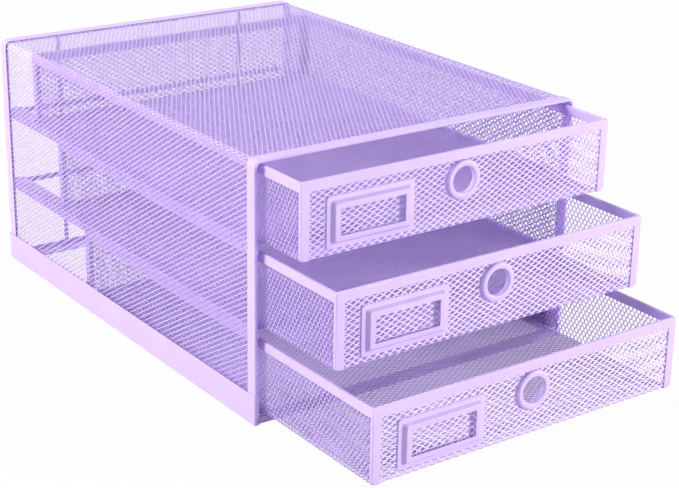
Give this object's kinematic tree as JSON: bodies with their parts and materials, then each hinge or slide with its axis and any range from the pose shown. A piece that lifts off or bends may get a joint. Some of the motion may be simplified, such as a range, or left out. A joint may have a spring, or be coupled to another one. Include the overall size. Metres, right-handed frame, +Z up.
{
  "type": "desktop mini drawers",
  "caption": "Open-backed desktop case of lavender steel mesh with stacked sliding mesh drawers, each with a label holder and a round finger hole.",
  "frame": {"origin": "middle of the front base bar's underside, on the desk, 6 mm behind the case's front face", "axes": "+X to the right seen from the front, +Y from the front to the open back, +Z up; the drawers open towards -Y and stand partly open at rest, as in the picture"},
  "size_m": [0.2566, 0.467, 0.1735],
  "materials": {
    "mesh": "satin lavender powder coat on expanded steel mesh",
    "strips": "satin lavender powder coat on folded steel strip",
    "rails": "satin lavender powder coat on steel rail",
    "fittings": "satin lavender powder coat on stamped steel"
  },
  "bodies": {
    "case": {"case_front_frame": "strips", "case_back_frame": "strips", "case_mesh_left": "mesh", "case_mesh_right": "mesh", "case_mesh_top": "mesh", "case_mesh_fold_left": "mesh", "case_mesh_fold_right": "mesh", "base_band_left": "strips", "base_band_right": "strips", "base_front_bar": "rails", "base_back_bar": "rails", "top_rail_left": "rails", "top_rail_right": "rails", "middle_rail_left": "rails", "middle_rail_right": "rails", "bottom_rail_left": "rails", "bottom_rail_right": "rails", "top_cross_bar": "rails", "middle_cross_bar": "rails", "back_stiffener_left": "rails", "back_stiffener_right": "rails"},
    "top_drawer": {"top_drawer_mesh_bottom": "mesh", "top_drawer_mesh_left": "mesh", "top_drawer_mesh_right": "mesh", "top_drawer_mesh_back": "mesh", "top_drawer_mesh_front": "mesh", "top_drawer_rim_left": "strips", "top_drawer_rim_right": "strips", "top_drawer_rim_back": "strips", "top_drawer_back_corners": "strips", "top_drawer_front_frame": "strips", "top_drawer_label_holder": "fittings", "top_drawer_finger_ring": "fittings"},
    "middle_drawer": {"middle_drawer_mesh_bottom": "mesh", "middle_drawer_mesh_left": "mesh", "middle_drawer_mesh_right": "mesh", "middle_drawer_mesh_back": "mesh", "middle_drawer_mesh_front": "mesh", "middle_drawer_rim_left": "strips", "middle_drawer_rim_right": "strips", "middle_drawer_rim_back": "strips", "middle_drawer_back_corners": "strips", "middle_drawer_front_frame": "strips", "middle_drawer_label_holder": "fittings", "middle_drawer_finger_ring": "fittings"},
    "bottom_drawer": {"bottom_drawer_mesh_bottom": "mesh", "bottom_drawer_mesh_left": "mesh", "bottom_drawer_mesh_right": "mesh", "bottom_drawer_mesh_back": "mesh", "bottom_drawer_mesh_front": "mesh", "bottom_drawer_rim_left": "strips", "bottom_drawer_rim_right": "strips", "bottom_drawer_rim_back": "strips", "bottom_drawer_back_corners": "strips", "bottom_drawer_front_frame": "strips", "bottom_drawer_label_holder": "fittings", "bottom_drawer_finger_ring": "fittings"}
  },
  "joints": [
    {"name": "top_drawer_slide", "type": "slide", "parent": "case", "child": "top_drawer", "axis": [0, -1, 0], "range_m": [-0.0368, 0.2132]},
    {"name": "middle_drawer_slide", "type": "slide", "parent": "case", "child": "middle_drawer", "axis": [0, -1, 0], "range_m": [-0.0733, 0.1767]},
    {"name": "bottom_drawer_slide", "type": "slide", "parent": "case", "child": "bottom_drawer", "axis": [0, -1, 0], "range_m": [-0.1108, 0.1392]}
  ]
}
